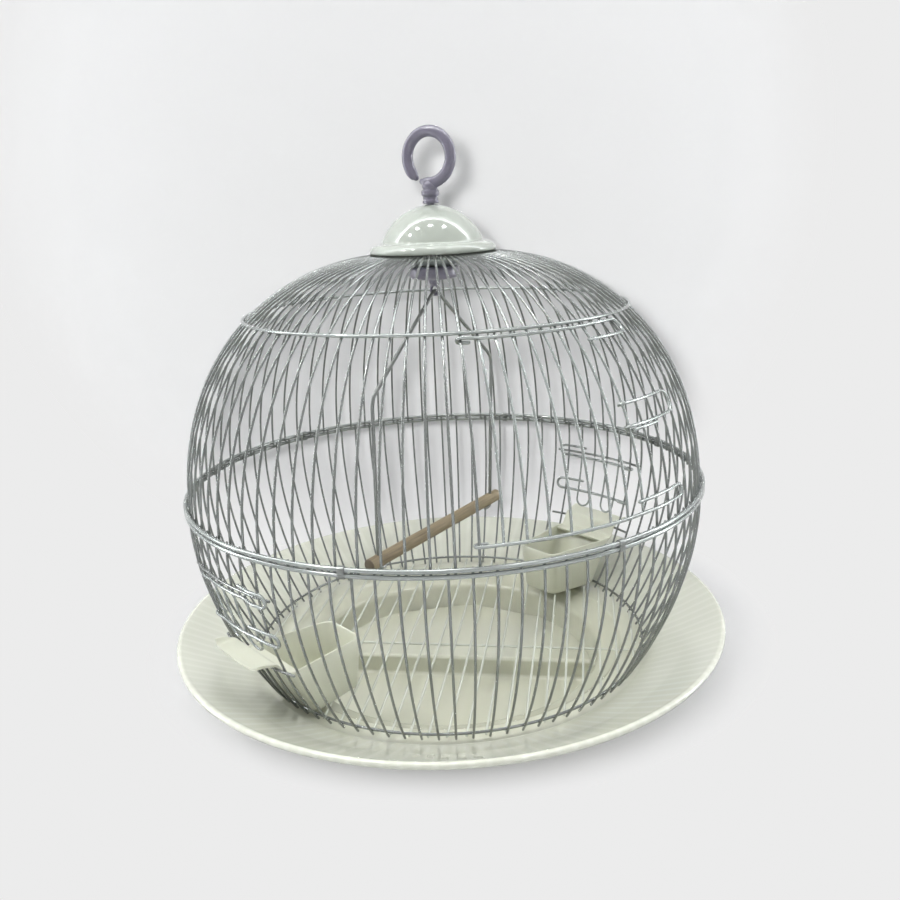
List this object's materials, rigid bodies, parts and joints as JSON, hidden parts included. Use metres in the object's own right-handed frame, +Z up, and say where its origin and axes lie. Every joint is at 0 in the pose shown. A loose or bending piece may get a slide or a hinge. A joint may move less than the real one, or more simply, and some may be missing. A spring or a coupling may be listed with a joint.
{
  "type": "bird cage",
  "caption": "Round domed wire bird cage on a moulded tray, with a hinged main door, feeder doors with cups, a perch swing and a hanging ring.",
  "frame": {"origin": "on the floor under the middle of the tray", "axes": "+Z up through the stem of the hanging ring; -Y is the front, seen in the picture, with the main door to its right and one feeder door to its left"},
  "size_m": [0.3854, 0.3854, 0.3952],
  "materials": {
    "tray_plastic": "moulded, satin",
    "cage_wire": "silver-grey paint",
    "rim_wire": "silver-grey paint",
    "door_wire": "silver-grey paint",
    "clip_steel": "crimped strip",
    "plate_steel": "silver-grey paint",
    "cup_plastic": "moulded, slightly translucent",
    "cap_plastic": "moulded, glossy",
    "hanger_plastic": "moulded, glossy",
    "swing_wire": "silver-grey paint",
    "perch_wood": "turned dowel"
  },
  "bodies": {
    "tray": {"base_tray": "tray_plastic"},
    "cage": {"lower_ribs": "cage_wire", "upper_ribs": "cage_wire", "upper_rim_ring": "rim_wire", "lower_rim_ring": "rim_wire", "band_ring": "rim_wire", "rim_clip_1": "clip_steel", "rim_clip_2": "clip_steel", "rim_clip_3": "clip_steel", "rim_clip_4": "clip_steel", "rim_clip_5": "clip_steel", "rim_clip_6": "clip_steel", "feeder_lintel_front": "cage_wire", "feeder_sill_front": "cage_wire", "feeder_lintel_back": "cage_wire", "feeder_sill_back": "cage_wire", "floor_grille": "cage_wire", "cap": "cap_plastic", "clamp_plate": "plate_steel"},
    "door": {"main_door": "door_wire"},
    "latch": {"door_latch": "door_wire"},
    "front_feeder_door": {"feeder_door_front": "door_wire"},
    "back_feeder_door": {"feeder_door_back": "door_wire"},
    "front_cup": {"feeder_cup_front": "cup_plastic"},
    "back_cup": {"feeder_cup_back": "cup_plastic"},
    "hanger": {"hanging_ring": "hanger_plastic", "swing_nut": "hanger_plastic"},
    "swing": {"swing_wire": "swing_wire", "perch": "perch_wood"}
  },
  "joints": [
    {"name": "cage_lift", "type": "slide", "parent": "tray", "child": "cage", "axis": [0, 0, 1], "range_m": [0, 0.15]},
    {"name": "main_door_hinge", "type": "hinge", "parent": "cage", "child": "door", "pos_m": [0.01633, -0.16957, 0.177], "axis": [0.0384, -0.3988, -0.9162], "range_deg": [0, 85]},
    {"name": "latch_flip", "type": "hinge", "parent": "door", "child": "latch", "pos_m": [0.10233, -0.12288, 0.2245], "axis": [0.2239, -0.2688, -0.9368], "range_deg": [0, 25], "stiffness_Nm_per_rad": 0.02},
    {"name": "front_feeder_hinge", "type": "hinge", "parent": "cage", "child": "front_feeder_door", "pos_m": [-0.14292, -0.08223, 0.1076], "axis": [0.163, 0.0938, -0.9822], "range_deg": [0, 100]},
    {"name": "back_feeder_hinge", "type": "hinge", "parent": "cage", "child": "back_feeder_door", "pos_m": [0.14292, 0.08223, 0.1076], "axis": [-0.163, -0.0938, -0.9822], "range_deg": [0, 100]},
    {"name": "front_cup_lift", "type": "slide", "parent": "cage", "child": "front_cup", "axis": [0, 0, 1], "range_m": [0, 0.0015]},
    {"name": "back_cup_lift", "type": "slide", "parent": "cage", "child": "back_cup", "axis": [0, 0, 1], "range_m": [0, 0.0015]},
    {"name": "hanger_swivel", "type": "hinge", "parent": "cage", "child": "hanger", "pos_m": [0, 0, 0.32], "axis": [0, 0, 1], "continuous": true},
    {"name": "swing_pivot", "type": "hinge", "parent": "hanger", "child": "swing", "pos_m": [0, 0, 0.29195], "axis": [0.6293, 0.7771, 0], "range_deg": [-45, 45]}
  ]
}
